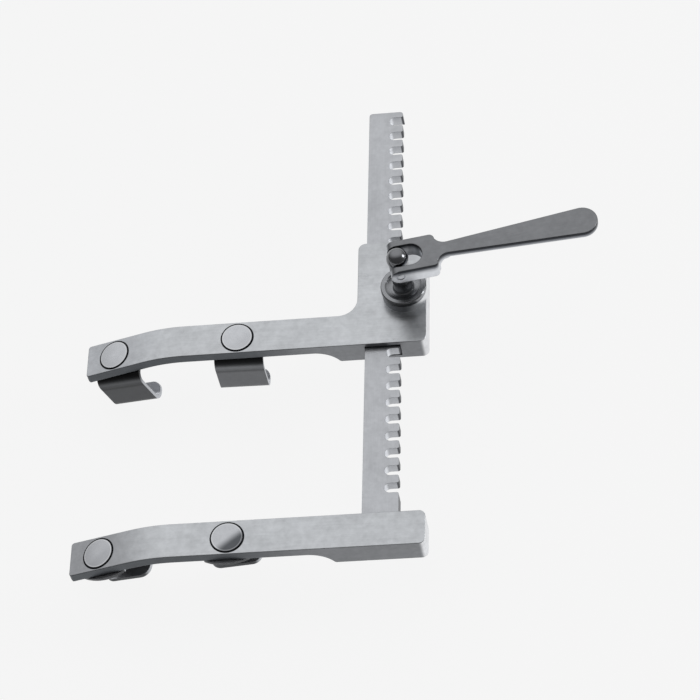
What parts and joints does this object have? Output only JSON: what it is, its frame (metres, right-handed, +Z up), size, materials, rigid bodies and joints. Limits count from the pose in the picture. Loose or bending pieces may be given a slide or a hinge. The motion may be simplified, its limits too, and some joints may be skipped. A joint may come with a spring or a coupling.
{
  "type": "self retaining retractor",
  "caption": "Rack and crank chest retractor: a housing arm slides on a toothed bar, driven by a folding crank, with swivelling hook blades on bent arms.",
  "frame": {"origin": "on the flat underside of the fixed arm's block, below the toothed bar's centre line", "axes": "+X along the arms from their tips towards the bar and crank, +Y along the toothed bar towards its free end, +Z up out of the arms on the crank's side"},
  "size_m": [0.2156, 0.218, 0.0626],
  "materials": {
    "satin_steel": "satin brushed stainless steel",
    "blade_steel": "satin stainless steel",
    "rivet_steel": "fine turned stainless steel",
    "handle_steel": "bead blasted stainless steel",
    "polished_steel": "polished stainless steel"
  },
  "bodies": {
    "fixed_frame": {"fixed_arm": "satin_steel", "rack_bar": "satin_steel", "rack_pins": "satin_steel", "rivet_fixed_inner": "rivet_steel", "rivet_fixed_outer": "rivet_steel", "spacer_fixed_inner": "rivet_steel", "spacer_fixed_outer": "rivet_steel"},
    "moving_frame": {"moving_arm": "satin_steel", "housing_cover": "satin_steel", "cover_screws": "polished_steel", "thrust_washer": "satin_steel", "rivet_moving_inner": "rivet_steel", "rivet_moving_outer": "rivet_steel", "spacer_moving_inner": "rivet_steel", "spacer_moving_outer": "rivet_steel"},
    "crank": {"crank_drum": "polished_steel", "drive_pins": "polished_steel", "crank_knob": "polished_steel", "ball_post": "polished_steel", "pinion_screw": "polished_steel"},
    "handle": {"crank_handle": "handle_steel", "hinge_pin": "polished_steel"},
    "blade_a": {"blade_fixed_inner": "blade_steel"},
    "blade_b": {"blade_fixed_outer": "blade_steel"},
    "blade_c": {"blade_moving_inner": "blade_steel"},
    "blade_d": {"blade_moving_outer": "blade_steel"}
  },
  "joints": [
    {"name": "arm_slide", "type": "slide", "parent": "fixed_frame", "child": "moving_frame", "axis": [0, 1, 0], "range_m": [-0.0736, 0.08]},
    {"name": "crank_turn", "type": "hinge", "parent": "moving_frame", "child": "crank", "pos_m": [0.0094, 0.1108, 0.0111], "axis": [0, 0, 1], "range_deg": [-1105, 1201]},
    {"name": "handle_fold", "type": "hinge", "parent": "crank", "child": "handle", "pos_m": [0.0094, 0.1108, 0.03365], "axis": [0.1547, -0.988, 0], "range_deg": [0, 180]},
    {"name": "swivel_fixed_inner", "type": "hinge", "parent": "fixed_frame", "child": "blade_a", "pos_m": [-0.06, 0, 0.0067], "axis": [0, 0, 1], "continuous": true},
    {"name": "swivel_fixed_outer", "type": "hinge", "parent": "fixed_frame", "child": "blade_b", "pos_m": [-0.11167, 0, 0.00006], "axis": [-0.3007, 0, 0.9537], "continuous": true},
    {"name": "swivel_moving_inner", "type": "hinge", "parent": "moving_frame", "child": "blade_c", "pos_m": [-0.06, 0.0946, 0.0067], "axis": [0, 0, 1], "continuous": true},
    {"name": "swivel_moving_outer", "type": "hinge", "parent": "moving_frame", "child": "blade_d", "pos_m": [-0.11167, 0.0946, 0.00006], "axis": [-0.3007, 0, 0.9537], "continuous": true}
  ],
  "couplings": [
    {"joint": "crank_turn", "follows": "arm_slide", "rad_per_m": 261.8}
  ]
}
